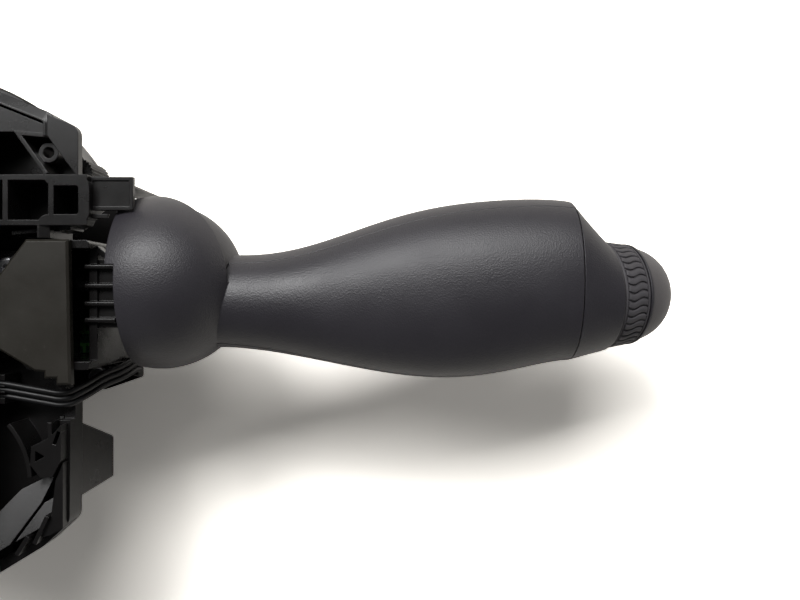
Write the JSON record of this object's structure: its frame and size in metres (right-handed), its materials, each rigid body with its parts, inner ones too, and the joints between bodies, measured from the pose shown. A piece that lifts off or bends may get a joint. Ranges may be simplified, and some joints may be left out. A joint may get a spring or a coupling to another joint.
{
  "type": "combination stalk switch",
  "caption": "Steering column switch module with a ball-mounted lever, a textured rotary band and a push button at the tip, over a clock spring.",
  "frame": {"origin": "on the axis of the steering column bore, in the front face that looks at the steering wheel", "axes": "+Z along the column bore towards the rear, +X along the lever away from the column"},
  "size_m": [0.2585, 0.1286, 0.0704],
  "materials": {
    "black_plastic": "glass-filled moulding, near black, satin",
    "switch_plastic": "black engineering plastic, smooth",
    "panel_plastic": "smooth black panel with an olive cast",
    "core_plastic": "plain dark moulding",
    "stalk_plastic": "charcoal soft-touch plastic with a fine moulded grain",
    "cap_plastic": "charcoal plastic, slightly smoother than the lever",
    "grip_rubber": "chevron-textured dark rubber",
    "board": "green lacquered board",
    "cable_film": "amber film with copper tracks",
    "steel": "plain steel",
    "contact_metal": "tinned contact pins",
    "wire_insulation": "black insulation"
  },
  "bodies": {
    "column_module": {"column_carrier": "black_plastic", "rear_frame": "black_plastic", "main_board": "board", "rear_cover": "black_plastic", "clockspring_case": "black_plastic", "flex_cable": "cable_film", "switch_case": "switch_plastic", "switch_cover": "panel_plastic", "contact_board": "board", "detent_plate": "switch_plastic", "connector_shell": "black_plastic", "connector_pins": "contact_metal", "harness_wires": "wire_insulation", "wire_clip": "switch_plastic", "lower_bracket": "black_plastic", "cover_screws": "steel", "box_screws": "steel", "bracket_screw": "steel"},
    "spiral_rotor": {"clockspring_rotor": "black_plastic"},
    "turn_gimbal": {"turn_yoke": "switch_plastic", "yoke_pins": "steel", "lever_pin": "steel"},
    "lever": {"lever_core": "core_plastic", "stalk_rear_cover": "stalk_plastic", "stalk_front_cover": "stalk_plastic", "stalk_board": "board", "knob_spindle": "core_plastic", "button_switch": "switch_plastic", "button_spring": "steel", "detent_spring": "steel"},
    "plunger": {"detent_plunger": "steel"},
    "rotary_band": {"grip_carrier": "core_plastic", "grip_ring": "grip_rubber", "trim_ring": "stalk_plastic"},
    "tip_button": {"end_button": "cap_plastic"}
  },
  "joints": [
    {"name": "rotor_turn", "type": "hinge", "parent": "column_module", "child": "spiral_rotor", "pos_m": [0, 0, 0.01], "axis": [0, 0, 1], "range_deg": [-900, 900]},
    {"name": "indicator_turn", "type": "hinge", "parent": "column_module", "child": "turn_gimbal", "pos_m": [0.076, 0, 0.05], "axis": [0, 0, 1], "range_deg": [-12, 12]},
    {"name": "beam_dip", "type": "hinge", "parent": "turn_gimbal", "child": "lever", "pos_m": [0.076, 0, 0.05], "axis": [0, 1, 0], "range_deg": [-6, 6], "stiffness_Nm_per_rad": 8},
    {"name": "plunger_slide", "type": "slide", "parent": "lever", "child": "plunger", "axis": [1, 0, 0], "range_m": [0, 0.0008], "stiffness_N_per_m": 1500, "springref_m": -0.001, "deforming": ["detent_spring"]},
    {"name": "band_turn", "type": "hinge", "parent": "lever", "child": "rotary_band", "pos_m": [0.1799, -0.003, 0.0446], "axis": [0.9653, 0.0337, -0.2588], "range_deg": [-20, 60]},
    {"name": "button_press", "type": "slide", "parent": "lever", "child": "tip_button", "axis": [-0.9653, -0.0337, 0.2588], "range_m": [0, 0.0015], "stiffness_N_per_m": 800, "springref_m": -0.001, "deforming": ["button_spring"]}
  ]
}
